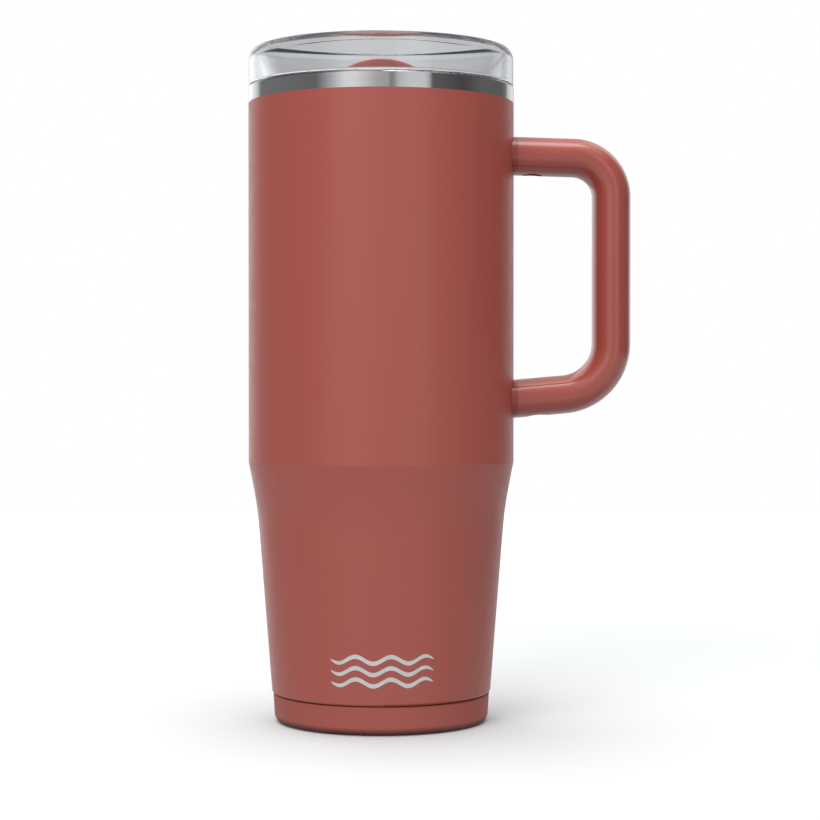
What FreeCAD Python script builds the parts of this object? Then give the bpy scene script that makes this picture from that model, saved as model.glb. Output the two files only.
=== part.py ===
import FreeCAD, Part
import math
import os
import re

import Sketcher

# An insulated travel mug: a double-walled steel vessel on a silicone boot, a bolted-on
# handle, and a clear press-in lid with a turning selector dial. Millimetres, +Z up.
# The origin is the centre of the boot's underside, and the handle points along +X.

NODES_FOLDER = "parts"

# Every driving dimension: its name in the sheet, its value and what it measures.
SIZES = [
    # mug, outside
    ("body_radius", 45.0, "radius of the straight upper side"),
    ("rim_top", 214.8, "height of the steel lip"),
    ("paint_top", 209.1, "height where the paint stops and bare steel starts"),
    ("shoulder_angle", 11.0, "slope of the side just under the shoulder, degrees"),
    ("foot_angle", 4.48, "slope of the lower side, degrees"),
    ("foot_radius", 37.2, "radius of the painted side at foot_height"),
    ("foot_height", 11.0, "height at which foot_radius is taken"),
    ("bend_height", 72.7, "height where the two slopes would meet"),
    ("bend_radius", 115.0, "arc that blends the two slopes"),
    ("seam_height", 9.9, "lower edge of the painted side"),
    ("seam_round", 0.9, "rounding of that edge"),
    # steel work
    ("steel_wall", 0.6, "sheet thickness of shell, liner and bottoms"),
    ("vacuum_gap", 2.4, "space between shell and liner"),
    ("lip_round", 1.5, "rounding of the lip towards the drink"),
    ("band_round", 0.75, "rounding of the lip towards the outside"),
    ("joint_height", 24.0, "weld between the liner and its bottom"),
    ("liner_floor", 15.0, "height of the floor that holds the drink"),
    ("knuckle_round", 6.0, "inner corner between floor and side"),
    ("seat_radius", 35.0, "radius of the unpainted foot inside the boot"),
    ("plate_height", 6.4, "upper face of the outer bottom"),
    ("plate_round", 2.0, "edge rounding of the outer bottom"),
    ("dimple_radius", 7.5, "recess around the evacuation port"),
    ("dimple_depth", 1.5, "depth of that recess"),
    ("port_radius", 1.0, "evacuation port"),
    ("bead_radius", 2.4, "solder bead that closes the port"),
    ("bead_height", 0.9, "height of the bead under the plate"),
    ("bead_round", 0.8, "rounding of the bead"),
    ("getter_radius", 4.0, "gas-absorbing pellet"),
    ("getter_thickness", 1.8, "thickness of the pellet"),
    ("getter_offset", 17.0, "distance of the pellet from the axis"),
    ("strap_width", 3.0, "width of the strap over the pellet"),
    ("strap_thickness", 0.3, "thickness of the strap"),
    ("strap_reach", 7.5, "half of the strap's length"),
    ("strap_gap", 0.2, "clearance between strap and pellet"),
    # boot
    ("boot_top", 9.6, "upper edge of the boot"),
    ("boot_floor", 2.0, "thickness of the boot under the mug"),
    ("boot_foot_radius", 36.15, "radius of the boot at the floor"),
    ("boot_top_radius", 36.7, "radius of the boot at its upper edge"),
    ("boot_round", 2.8, "lower corner of the boot"),
    ("boot_lip_round", 0.45, "upper corner of the boot"),
    ("groove_pitch", 8.0, "spacing of the grip grooves under the boot"),
    ("groove_width", 1.6, "width of a grip groove"),
    ("groove_depth", 0.6, "depth of a grip groove"),
    ("seat_gap", 0.05, "clearance between boot and steel"),
    # handle
    ("arm_root", 45.6, "distance from the axis at which the arm heights are taken"),
    ("upper_arm_height", 191.7, "height of the upper arm's centre line"),
    ("upper_arm_drop", 1.9, "slope of the upper arm, down and outwards, degrees"),
    ("lower_arm_height", 109.3, "height of the lower arm's centre line"),
    ("lower_arm_rise", 5.0, "slope of the lower arm, up and outwards, degrees"),
    ("grip_reach", 78.17, "distance of the grip's centre line from the axis"),
    ("upper_bend", 13.3, "centre line radius of the upper corner"),
    ("lower_bend", 17.4, "centre line radius of the lower corner"),
    ("grip_depth", 20.0, "section of the handle, front to back"),
    ("grip_thickness", 13.0, "section of the handle, in its own plane"),
    ("grip_nose", 5.2, "radius of the section's front and back"),
    ("skin", 1.7, "thickness of the soft outer layer"),
    ("collar_face", 46.1, "distance of the joint face from the axis"),
    ("collar_round", 0.3, "broken edge on both sides of the joint"),
    ("tongue_reach", 12.0, "length of the tongue that enters the handle"),
    ("tongue_width", 10.0, "width of the tongue"),
    ("tongue_thickness", 4.4, "thickness of the tongue"),
    ("tongue_gap", 0.1, "clearance around the tongue"),
    ("upper_screw_along", 6.0, "place of the upper screw along its arm"),
    ("lower_screw_along", 6.8, "place of the lower screw along its arm"),
    ("screw_hole_radius", 3.4, "counterbore for the screw's head"),
    ("screw_head_radius", 3.1, "radius of the screw's head"),
    ("screw_head_height", 1.9, "height of the screw's head"),
    ("screw_seat", 3.0, "distance of the head's seat from the centre line"),
    ("screw_radius", 1.95, "radius of the screw's shank"),
    ("screw_gap", 0.05, "clearance around the shank"),
    ("screw_tip", 2.0, "end of the screw above the centre line"),
    ("screw_head_round", 0.4, "edge of the screw's head"),
    ("screw_tip_chamfer", 0.5, "lead-in of the screw"),
    ("socket_width", 2.5, "hexagon socket, across flats"),
    ("socket_depth", 1.2, "depth of the socket"),
    # lid
    ("lid_radius", 44.85, "outside of the lid"),
    ("lid_top", 227.2, "top of the lid's rim"),
    ("lid_seat", 214.9, "face that rests on the steel lip"),
    ("lid_edge_round", 0.5, "lower outer edge of the lid"),
    ("recess_radius", 42.8, "inside of the rim at its top"),
    ("foot_of_wall", 41.31, "inside of the rim at its lower end"),
    ("ledge_top", 215.4, "upper face of the deck around the dial's well"),
    ("ledge_round", 0.5, "corner between the rim and that face"),
    ("well_radius", 32.6, "the dial's well at its top"),
    ("well_foot", 32.0, "the dial's well at its floor"),
    ("well_round", 0.4, "edges of the well"),
    ("rim_slope", 45.0, "slope of the rim's top, degrees"),
    ("rim_corner", 4.6, "outer corner of the rim"),
    ("rim_round", 0.3, "crest of the rim"),
    ("deck_top", 214.0, "upper face of the deck in the dial's well"),
    ("deck_bottom", 211.6, "lower face of the deck"),
    ("boss_radius", 8.0, "boss around the dial's hub"),
    ("boss_bottom", 209.6, "lower face of the boss"),
    ("bore_radius", 4.58, "bore for the dial's hub"),
    ("skirt_outer", 40.8, "outside of the plug"),
    ("skirt_inner", 38.3, "inside of the plug"),
    ("root_chamfer", 1.35, "corner between the plug and the seat, clear of the lip's rounding"),
    ("skirt_bottom", 203.5, "lower edge of the plug"),
    ("skirt_chamfer", 0.8, "lead-in of the plug"),
    ("deck_round", 1.0, "corner between the deck's underside and the plug"),
    ("gasket_bottom", 206.0, "lower side of the gasket groove"),
    ("gasket_top", 209.6, "upper side of the gasket groove"),
    ("gasket_seat", 39.6, "bottom of the gasket groove"),
    ("gasket_reach", 41.3, "tip of the gasket's lips"),
    ("gasket_waist", 40.8, "gasket between its lips"),
    ("gasket_gap", 0.05, "clearance of the gasket in its groove"),
    ("gasket_lip_share", 0.25, "height of each lip from its edge, as a share of the gasket's height"),
    ("gasket_lip_round", 0.3, "rounding of the gasket's lips"),
    ("sip_inner", 21.5, "inner edge of the sip opening"),
    ("sip_outer", 27.5, "outer edge of the sip opening"),
    ("sip_half_angle", 15.0, "half of the sip opening's angle"),
    ("sip_angle", -90.0, "direction of the sip opening"),
    ("straw_radius", 4.5, "straw hole"),
    ("straw_offset", 24.0, "distance of the straw hole from the axis"),
    ("straw_angle", 30.0, "direction of the straw hole"),
    ("vent_radius", 1.1, "air vent"),
    ("vent_offset", 15.0, "distance of the air vent from the axis"),
    ("vent_angle", 90.0, "direction of the air vent in the deck"),
    # dial
    ("dial_radius", 31.0, "radius of the dial"),
    ("dial_bottom", 214.35, "underside of the dial"),
    ("dial_edge", 215.9, "upper face of the dial at its edge"),
    ("dial_crown", 216.6, "upper face of the dial at its centre"),
    ("dial_round", 0.5, "upper edge of the dial"),
    ("window_angle", -30.0, "direction of the dial's window, closed"),
    ("window_half_angle", 17.0, "half of the window's angle"),
    ("window_inner", 19.3, "inner edge of the window"),
    ("window_outer", 28.7, "outer edge of the window"),
    ("window_round", 1.5, "corners of the window"),
    ("seal_inner", 12.0, "inside of the dial's seal"),
    ("seal_outer", 29.7, "outside of the dial's seal"),
    ("seal_bottom", 214.05, "face of the seal that wipes the deck"),
    ("seal_top", 215.0, "face of the seal against the dial"),
    ("hub_radius", 4.5, "hub of the dial"),
    ("hub_bottom", 208.4, "lower end of the hub"),
    ("ring_height", 211.9, "height of the ring seal on the hub"),
    ("ring_section", 0.54, "radius of the ring seal's groove"),
    ("ring_gap", 0.01, "clearance of the ring seal in its groove"),
    ("groove_half", 0.78, "half of the groove's height"),
    ("tab_top", 221.8, "top of the dial's tab"),
    ("tab_crown", 24.4, "arc along the top of the tab"),
    ("tab_slope", 33.0, "steepest slope of the tab's ends, degrees"),
    ("tab_foot", 216.25, "height where the tab runs out at its ends"),
    ("tab_root", 215.5, "lower end of the tab, in the dial's slot"),
    ("tab_foot_round", 6.6, "hollow arc at each end of the tab"),
    ("tab_reach", 18.0, "half of the tab's length"),
    ("tab_thickness", 4.6, "thickness of the tab"),
    ("tab_round", 0.6, "edges of the tab"),
    ("tab_gap", 0.03, "clearance of the tab in its slot"),
    ("washer_inner", 4.7, "inside of the spring washer"),
    ("washer_outer", 7.6, "outside of the spring washer"),
    ("washer_thickness", 0.35, "sheet of the spring washer"),
    ("washer_gap", 0.05, "clearance between washer and boss"),
    ("retainer_radius", 7.9, "radius of the retainer"),
    ("retainer_thickness", 1.2, "thickness of the retainer"),
    ("retainer_round", 0.4, "lower edge of the retainer"),
    ("dial_screw_radius", 1.4, "shank of the dial's screw"),
    ("dial_screw_head", 2.9, "head of the dial's screw"),
    ("dial_screw_head_height", 1.7, "height of that head"),
    ("dial_screw_round", 0.5, "edge of that head"),
    ("dial_socket_depth", 1.0, "depth of that head's socket"),
    ("dial_screw_tip", 214.8, "end of the dial's screw"),
]

DEGREES = math.pi / 180.0
TINY = 1e-3

os.makedirs(NODES_FOLDER, exist_ok=True)
doc = FreeCAD.newDocument("travel_mug")
sheet = doc.addObject("Spreadsheet::Sheet", "Sizes")
for row, (alias, value, note) in enumerate(SIZES, start=1):
    sheet.set(f"A{row}", note)
    sheet.set(f"B{row}", str(value))
    sheet.setAlias(f"B{row}", alias)
doc.recompute()

ALIASES = {alias for alias, value, note in SIZES}
nodes = []


# ---------------------------------------------------------------- reading the sheet

def formula(text):
    """The text as a document expression, with every size looked up in the sheet."""
    return re.sub(r"[a-z][a-z_]+", lambda word: expand(word.group()), str(text))


def expand(word):
    return f"Sizes.{word}" if word in ALIASES else word


def value_of(text):
    return float(sheet.evalExpression(formula(text)))


def bind(thing, path, text):
    thing.setExpression(path, formula(text))


# ---------------------------------------------------------------- sketches

def plane_of(body, role):
    return next(f for f in body.Origin.OriginFeatures if f.Role == role)


def new_body(name):
    return doc.addObject("PartDesign::Body", name)


def new_sketch(body, name, role, lift="0"):
    """A sketch on one of the body's own planes, lifted along that plane's normal."""
    sketch = body.newObject("Sketcher::SketchObject", name)
    sketch.AttachmentSupport = [(plane_of(body, role), "")]
    sketch.MapMode = "FlatFace"
    bind(sketch, "AttachmentOffset.Base.z", lift)
    doc.recompute()
    return sketch


def place_point(sketch, geometry, end, x, y):
    """Binds one point's two distances from the sketch's origin to two expressions."""
    for kind, text in (("DistanceX", x), ("DistanceY", y)):
        index = sketch.addConstraint(
            Sketcher.Constraint(kind, -1, 1, geometry, end, value_of(text)))
        bind(sketch, f"Constraints[{index}]", text)


def add_arc(sketch, centre, radius, start, finish):
    circle = Part.Circle(FreeCAD.Vector(centre[0], centre[1], 0), FreeCAD.Vector(0, 0, 1), radius)
    return sketch.addGeometry(Part.ArcOfCircle(circle, start, finish), False)


def bind_radius(sketch, geometry, text):
    index = sketch.addConstraint(Sketcher.Constraint("Radius", geometry, value_of(text)))
    bind(sketch, f"Constraints[{index}]", text)


def outline(body, name, role, corners, lift="0"):
    """A closed outline of straight sides. A corner is (x, y), or (x, y, radius) if it is rounded."""
    sketch = new_sketch(body, name, role, lift)
    spots = [FreeCAD.Vector(value_of(c[0]), value_of(c[1]), 0) for c in corners]
    count = len(corners)
    cuts = []
    for i, corner in enumerate(corners):
        before = (spots[i - 1] - spots[i]).normalize()
        after = (spots[(i + 1) % count] - spots[i]).normalize()
        if len(corner) == 2:
            cuts.append((spots[i], spots[i], None))
            continue
        radius = value_of(corner[2])
        half_angle = before.getAngle(after) / 2
        reach = radius / math.tan(half_angle)
        centre = spots[i] + (before + after).normalize() * (radius / math.sin(half_angle))
        cuts.append((spots[i] + before * reach, spots[i] + after * reach, centre))
    sides = []
    for i in range(count):
        line = Part.LineSegment(cuts[i][1], cuts[(i + 1) % count][0])
        sides.append(sketch.addGeometry(line, False))
    for i, corner in enumerate(corners):
        incoming = sides[i - 1]
        outgoing = sides[i]
        if len(corner) == 2:
            sketch.addConstraint(Sketcher.Constraint("Coincident", incoming, 2, outgoing, 1))
            place_point(sketch, outgoing, 1, corner[0], corner[1])
            continue
        round_corner(sketch, corner, cuts[i], incoming, outgoing, spots[i])
    doc.recompute()
    return sketch


def round_corner(sketch, corner, cut, incoming, outgoing, spot):
    """An arc tangent to two sides. The sharp corner stays as a point on both, and is what is placed."""
    start, finish, centre = cut
    radius = value_of(corner[2])
    start_angle = math.atan2(start.y - centre.y, start.x - centre.x)
    finish_angle = math.atan2(finish.y - centre.y, finish.x - centre.x)
    turn = (start - centre).cross(finish - centre).z
    if turn > 0:
        arc = add_arc(sketch, centre, radius, start_angle, finish_angle)
        first, last = 1, 2
    else:
        arc = add_arc(sketch, centre, radius, finish_angle, start_angle)
        first, last = 2, 1
    sharp = sketch.addGeometry(Part.Point(spot), True)
    sketch.addConstraint([
        Sketcher.Constraint("Tangent", incoming, 2, arc, first),
        Sketcher.Constraint("Tangent", arc, last, outgoing, 1),
        Sketcher.Constraint("PointOnObject", sharp, 1, incoming),
        Sketcher.Constraint("PointOnObject", sharp, 1, outgoing),
    ])
    bind_radius(sketch, arc, corner[2])
    place_point(sketch, sharp, 1, corner[0], corner[1])


def ring_sector(body, name, lift, inner, outer, middle, half_angle):
    """The outline of a slot bent round the axis: two arcs joined by two radial sides."""
    sketch = new_sketch(body, name, "XY_Plane", lift)
    start = value_of(f"{middle} - {half_angle}") * DEGREES
    finish = value_of(f"{middle} + {half_angle}") * DEGREES
    arcs = [add_arc(sketch, (0, 0), value_of(r), start, finish) for r in (inner, outer)]
    for arc, radius in zip(arcs, (inner, outer)):
        sketch.addConstraint(Sketcher.Constraint("Coincident", arc, 3, -1, 1))
        bind_radius(sketch, arc, radius)
    for end, sign in ((1, "-"), (2, "+")):
        near = sketch.getPoint(arcs[0], end)
        far = sketch.getPoint(arcs[1], end)
        side = sketch.addGeometry(Part.LineSegment(near, far), False)
        sketch.addConstraint(Sketcher.Constraint("Coincident", side, 1, arcs[0], end))
        sketch.addConstraint(Sketcher.Constraint("Coincident", side, 2, arcs[1], end))
        for arc, radius in zip(arcs, (inner, outer)):
            index = sketch.addConstraint(Sketcher.Constraint(
                "DistanceX", -1, 1, arc, end, sketch.getPoint(arc, end).x))
            bind(sketch, f"Constraints[{index}]",
                 f"{radius} * cos({middle} {sign} {half_angle})")
    doc.recompute()
    return sketch


def disc(body, name, lift, radius, distance="0", angle="0"):
    """A circle, at a distance and direction from the axis."""
    sketch = new_sketch(body, name, "XY_Plane", lift)
    x = f"{distance} * cos({angle})"
    y = f"{distance} * sin({angle})"
    spot = FreeCAD.Vector(value_of(x), value_of(y), 0)
    circle = sketch.addGeometry(
        Part.Circle(spot, FreeCAD.Vector(0, 0, 1), value_of(radius)), False)
    place_point(sketch, circle, 3, x, y)
    bind_radius(sketch, circle, radius)
    doc.recompute()
    return sketch


# ---------------------------------------------------------------- features

def revolve(body, sketch):
    feature = body.newObject("PartDesign::Revolution", f"{sketch.Name}_turned")
    feature.Profile = sketch
    feature.ReferenceAxis = (sketch, ["V_Axis"])
    feature.Angle = 360
    sketch.Visibility = False
    doc.recompute()
    return feature


def pad(body, sketch, length, symmetric=False):
    feature = body.newObject("PartDesign::Pad", f"{sketch.Name}_raised")
    feature.Profile = sketch
    feature.SideType = "Symmetric" if symmetric else "One side"
    bind(feature, "Length", length)
    doc.recompute()
    return feature


def pocket(body, sketch, depth, upwards=False, symmetric=False):
    """A cut from the sketch, down unless told otherwise. It has to remove something."""
    before = body.Shape.Volume
    feature = body.newObject("PartDesign::Pocket", f"{sketch.Name}_cut")
    feature.Profile = sketch
    feature.Type = "Length"
    feature.SideType = "Symmetric" if symmetric else "One side"
    feature.Reversed = upwards
    bind(feature, "Length", depth)
    doc.recompute()
    if body.Shape.Volume > before - TINY:
        raise RuntimeError(f"{feature.Label} cuts nothing")
    return feature


def fillet(body, radius, wanted):
    """Rounds the edges of the body's last feature for which wanted(edge) is true."""
    base = body.Tip
    names = [f"Edge{i}" for i, edge in enumerate(base.Shape.Edges, start=1) if wanted(edge)]
    if not names:
        raise RuntimeError(f"{body.Label} has no such edge")
    feature = body.newObject("PartDesign::Fillet", f"{body.Name}_rounded")
    feature.Base = (base, names)
    bind(feature, "Radius", radius)
    doc.recompute()
    return feature


def join(kind, name, base, tool):
    """A Part::Cut, Part::Fuse or Part::Common of two objects."""
    feature = doc.addObject(f"Part::{kind}", name)
    feature.Base = base
    feature.Tool = tool
    feature.Refine = True
    doc.recompute()
    return feature


def cylinder(name, radius, height, placement=None):
    feature = doc.addObject("Part::Cylinder", name)
    bind(feature, "Radius", radius)
    bind(feature, "Height", height)
    if placement:
        feature.Placement = placement
    return feature


def block(name, length, width, height, placement):
    """A box centred on its placement in Y and Z, and reaching along +X."""
    feature = doc.addObject("Part::Box", name)
    bind(feature, "Length", length)
    bind(feature, "Width", width)
    bind(feature, "Height", height)
    centring = FreeCAD.Vector(0, -value_of(width) / 2, -value_of(height) / 2)
    feature.Placement = placement.multiply(FreeCAD.Placement(centring, FreeCAD.Rotation()))
    return feature


def turned_body(name, corners):
    """A body made by turning one outline, given as radius and height, about the Z axis."""
    body = new_body(name)
    revolve(body, outline(body, f"{name}_outline", "XZ_Plane", corners))
    return body


def node(thing, name):
    """Registers a finished sub-part under the name that its file gets."""
    thing.Label = name
    nodes.append(thing)
    return thing


# ---------------------------------------------------------------- the mug's side

def side_radius(depth, height):
    """Radius of the lower side at a height, at a depth under the painted surface."""
    return (f"(foot_radius + ({height} - foot_height) * tan(foot_angle)"
            f" - ({depth}) / cos(foot_angle))")


def bend_corner(depth):
    """Where the two slopes meet, at a depth under the painted surface, and its arc."""
    mean = "((foot_angle + shoulder_angle) / 2)"
    half = "((shoulder_angle - foot_angle) / 2)"
    radius = f"{side_radius('0', 'bend_height')} - ({depth}) * cos({mean}) / cos({half})"
    height = f"bend_height + ({depth}) * sin({mean}) / cos({half})"
    return (radius, height, f"bend_radius + {depth}")


def shoulder_corner(depth):
    run = f"(body_radius - {side_radius('0', 'bend_height')}) / tan(shoulder_angle)"
    height = f"bend_height + {run} + ({depth}) * tan(shoulder_angle / 2)"
    return (f"body_radius - ({depth})", height)


SHELL_INSIDE = "steel_wall"
LINER_OUTSIDE = "(steel_wall + vacuum_gap)"
LINER_INSIDE = "(2 * steel_wall + vacuum_gap)"


def outer_shell():
    """The painted outer wall, stepping in at the seam to the foot that the boot grips."""
    corners = [
        ("seat_radius", "boot_floor"),
        ("seat_radius", "seam_height"),
        (side_radius("0", "seam_height"), "seam_height", "seam_round"),
        bend_corner("0"),
        shoulder_corner("0"),
        ("body_radius", "paint_top"),
        ("body_radius - steel_wall", "paint_top"),
        shoulder_corner(SHELL_INSIDE),
        bend_corner(SHELL_INSIDE),
        (side_radius(SHELL_INSIDE, "(seam_height + steel_wall)"), "seam_height + steel_wall"),
        ("seat_radius - steel_wall", "seam_height + steel_wall"),
        ("seat_radius - steel_wall", "boot_floor"),
    ]
    node(turned_body("shell", corners), "outer_shell")


def inner_liner():
    """The bare steel wall around the drink, whose lip rolls out into the polished band."""
    corners = [
        (side_radius(LINER_INSIDE, "joint_height"), "joint_height"),
        bend_corner(LINER_INSIDE),
        shoulder_corner(LINER_INSIDE),
        (f"body_radius - {LINER_INSIDE}", "rim_top", "lip_round"),
        ("body_radius", "rim_top", "band_round"),
        ("body_radius", "paint_top"),
        ("body_radius - steel_wall", "paint_top"),
        ("body_radius - steel_wall", "rim_top - steel_wall", "band_round - steel_wall"),
        (f"body_radius - {LINER_OUTSIDE}", "rim_top - steel_wall", "lip_round - steel_wall"),
        shoulder_corner(LINER_OUTSIDE),
        bend_corner(LINER_OUTSIDE),
        (side_radius(LINER_OUTSIDE, "joint_height"), "joint_height"),
    ]
    node(turned_body("liner", corners), "inner_liner")


def liner_bottom():
    """The pressed dish welded under the liner."""
    underside = "(liner_floor - steel_wall)"
    corners = [
        (side_radius(LINER_INSIDE, "joint_height"), "joint_height"),
        (side_radius(LINER_INSIDE, "liner_floor"), "liner_floor", "knuckle_round"),
        ("0", "liner_floor"),
        ("0", underside),
        (side_radius(LINER_OUTSIDE, underside), underside, "knuckle_round + steel_wall"),
        (side_radius(LINER_OUTSIDE, "joint_height"), "joint_height"),
    ]
    node(turned_body("dish", corners), "liner_bottom")


def outer_bottom():
    """The plate welded inside the shell's foot, dished down around the evacuation port."""
    inside = "seat_radius - steel_wall"
    underside = "plate_height - steel_wall"
    corners = [
        (inside, "boot_floor"),
        (inside, "plate_height", "plate_round"),
        ("dimple_radius + dimple_depth", "plate_height"),
        ("dimple_radius", "plate_height - dimple_depth"),
        ("port_radius", "plate_height - dimple_depth"),
        ("port_radius", f"{underside} - dimple_depth"),
        ("dimple_radius + steel_wall / 2", f"{underside} - dimple_depth"),
        ("dimple_radius + dimple_depth + steel_wall / 2", underside),
        (f"{inside} - steel_wall", underside, "plate_round - steel_wall"),
        (f"{inside} - steel_wall", "boot_floor"),
    ]
    node(turned_body("plate", corners), "outer_bottom")


def vacuum_seal():
    """The solder bead that closes the port."""
    floor = "plate_height - dimple_depth"
    face = f"{floor} - steel_wall"
    corners = [
        ("0", f"{face} - bead_height"),
        ("bead_radius", f"{face} - bead_height", "bead_round"),
        ("bead_radius", face),
        ("port_radius", face),
        ("port_radius", floor),
        ("0", floor),
    ]
    node(turned_body("bead", corners), "vacuum_seal")


def getter():
    """The pellet that keeps the vacuum, and the strap that is spot-welded over it."""
    spot = FreeCAD.Vector(value_of("getter_offset"), 0, value_of("plate_height"))
    place = FreeCAD.Placement(spot, FreeCAD.Rotation())
    pellet = cylinder("pellet", "getter_radius", "getter_thickness", place)
    node(pellet, "getter_pellet")
    strap = new_body("strap")
    shoulder = "getter_radius + strap_gap"
    sheet_top = "getter_thickness + strap_thickness"
    corners = [
        ("0 - strap_reach", "0"),
        (f"0 - ({shoulder})", "0"),
        (f"0 - ({shoulder})", "getter_thickness"),
        (shoulder, "getter_thickness"),
        (shoulder, "0"),
        ("strap_reach", "0"),
        ("strap_reach", "strap_thickness"),
        (f"{shoulder} + strap_thickness", "strap_thickness"),
        (f"{shoulder} + strap_thickness", sheet_top),
        (f"0 - ({shoulder} + strap_thickness)", sheet_top),
        (f"0 - ({shoulder} + strap_thickness)", "strap_thickness"),
        ("0 - strap_reach", "strap_thickness"),
    ]
    pad(strap, outline(strap, "strap_outline", "XZ_Plane", corners), "strap_width", symmetric=True)
    strap.Placement = place
    node(strap, "getter_strap")


def base_boot():
    """The silicone boot, with ring grooves underneath."""
    grooves = []
    for count in (1, 2, 3):
        middle = f"{count} * groove_pitch"
        grooves += [
            (f"{middle} - groove_width / 2", "0"),
            (f"{middle} - groove_width / 2", "groove_depth"),
            (f"{middle} + groove_width / 2", "groove_depth"),
            (f"{middle} + groove_width / 2", "0"),
        ]
    corners = [("0", "0")] + grooves + [
        ("boot_foot_radius", "0", "boot_round"),
        ("boot_top_radius", "boot_top", "boot_lip_round"),
        ("seat_radius + seat_gap", "boot_top"),
        ("seat_radius + seat_gap", "boot_floor"),
        ("0", "boot_floor"),
    ]
    node(turned_body("boot", corners), "base_boot")


# ---------------------------------------------------------------- the handle

class Arm:
    """One arm of the handle: where it leaves the body, its slope and its screw."""

    def __init__(self, name, height, tilt, screw_along):
        self.name = name
        root = FreeCAD.Vector(value_of("arm_root"), 0, value_of(height))
        turn = FreeCAD.Rotation(FreeCAD.Vector(0, 1, 0), value_of(tilt))
        self.place = FreeCAD.Placement(root, turn)
        self.screw_along = screw_along

    def at(self, along, up="0"):
        """A placement on the arm's centre line, turned with the arm."""
        shift = FreeCAD.Vector(value_of(along), 0, value_of(up))
        return self.place.multiply(FreeCAD.Placement(shift, FreeCAD.Rotation()))


UPPER = Arm("upper", "upper_arm_height", "upper_arm_drop", "upper_screw_along")
LOWER = Arm("lower", "lower_arm_height", "0 - lower_arm_rise", "lower_screw_along")


def oval(body, name, inset):
    """The handle's section across Y and Z: two nose arcs joined by two flatter arcs."""
    half_depth = f"(grip_depth / 2 - {inset})"
    half_height = f"(grip_thickness / 2 - {inset})"
    nose = f"(grip_nose - {inset})"
    offset = f"({half_depth} - {nose})"
    flat = (f"(({offset}) ^ 2 + {half_height} ^ 2 - {nose} ^ 2)"
            f" / (2 * ({half_height} - {nose}))")
    sketch = new_sketch(body, name, "YZ_Plane")
    nose_value, flat_value = value_of(nose), value_of(flat)
    offset_value, rise = value_of(offset), value_of(flat) - value_of(half_height)
    lean = math.atan2(rise, offset_value)
    right = add_arc(sketch, (offset_value, 0), nose_value, -lean, lean)
    upper = add_arc(sketch, (0, -rise), flat_value, lean, math.pi - lean)
    left = add_arc(sketch, (-offset_value, 0), nose_value, math.pi - lean, math.pi + lean)
    lower = add_arc(sketch, (0, rise), flat_value, math.pi + lean, 2 * math.pi - lean)
    ring = [right, upper, left, lower]
    for this, following in zip(ring, ring[1:] + ring[:1]):
        sketch.addConstraint(Sketcher.Constraint("Tangent", this, 2, following, 1))
    for arc, sign in ((right, ""), (left, "0 - ")):
        place_point(sketch, arc, 3, f"{sign}{offset}", "0")
        bind_radius(sketch, arc, nose)
    for arc in (upper, lower):
        bind_radius(sketch, arc, flat)
    doc.recompute()
    return sketch


def centre_line(body, name):
    """The handle's centre line: out along the upper arm, down the grip and back."""
    sketch = new_sketch(body, name, "XZ_Plane")
    drop, rise = value_of("upper_arm_drop") * DEGREES, value_of("lower_arm_rise") * DEGREES
    root, reach = value_of("arm_root"), value_of("grip_reach")
    upper_bend, lower_bend = value_of("upper_bend"), value_of("lower_bend")
    upper_turn = (reach - upper_bend, value_of("upper_arm_height")
                  - (reach - upper_bend - root) * math.tan(drop) - upper_bend / math.cos(drop))
    lower_turn = (reach - lower_bend, value_of("lower_arm_height")
                  + (reach - lower_bend - root) * math.tan(rise) + lower_bend / math.cos(rise))
    upper_start = FreeCAD.Vector(root, value_of("upper_arm_height"), 0)
    upper_end = FreeCAD.Vector(upper_turn[0] + upper_bend * math.sin(drop),
                               upper_turn[1] + upper_bend * math.cos(drop), 0)
    lower_end = FreeCAD.Vector(lower_turn[0] + lower_bend * math.sin(rise),
                               lower_turn[1] - lower_bend * math.cos(rise), 0)
    lower_start = FreeCAD.Vector(root, value_of("lower_arm_height"), 0)
    out = sketch.addGeometry(Part.LineSegment(upper_start, upper_end), False)
    top = add_arc(sketch, upper_turn, upper_bend, 0, math.pi / 2 - drop)
    grip = sketch.addGeometry(Part.LineSegment(FreeCAD.Vector(reach, upper_turn[1], 0),
                                               FreeCAD.Vector(reach, lower_turn[1], 0)), False)
    bottom = add_arc(sketch, lower_turn, lower_bend, rise - math.pi / 2, 0)
    back = sketch.addGeometry(Part.LineSegment(lower_end, lower_start), False)
    sketch.addConstraint([
        Sketcher.Constraint("Tangent", out, 2, top, 2),
        Sketcher.Constraint("Tangent", top, 1, grip, 1),
        Sketcher.Constraint("Tangent", grip, 2, bottom, 2),
        Sketcher.Constraint("Tangent", bottom, 1, back, 1),
        Sketcher.Constraint("Vertical", grip),
    ])
    place_point(sketch, out, 1, "arm_root", "upper_arm_height")
    place_point(sketch, back, 2, "arm_root", "lower_arm_height")
    bind_radius(sketch, top, "upper_bend")
    bind_radius(sketch, bottom, "lower_bend")
    bind_point_x(sketch, grip, "grip_reach")
    for line, start, slope in ((out, 1, "0 - upper_arm_drop"), (back, 2, "lower_arm_rise")):
        bind_slope(sketch, line, start, slope)
    doc.recompute()
    return sketch


def bind_point_x(sketch, geometry, text):
    index = sketch.addConstraint(
        Sketcher.Constraint("DistanceX", -1, 1, geometry, 1, value_of(text)))
    bind(sketch, f"Constraints[{index}]", text)


def bind_slope(sketch, line, start, text):
    """Sets a line's angle to the horizontal axis, seen from its given end."""
    index = sketch.addConstraint(
        Sketcher.Constraint("Angle", -1, 1, line, start, value_of(text) * DEGREES))
    bind(sketch, f"Constraints[{index}]", f"({text}) * 1 deg")


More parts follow.
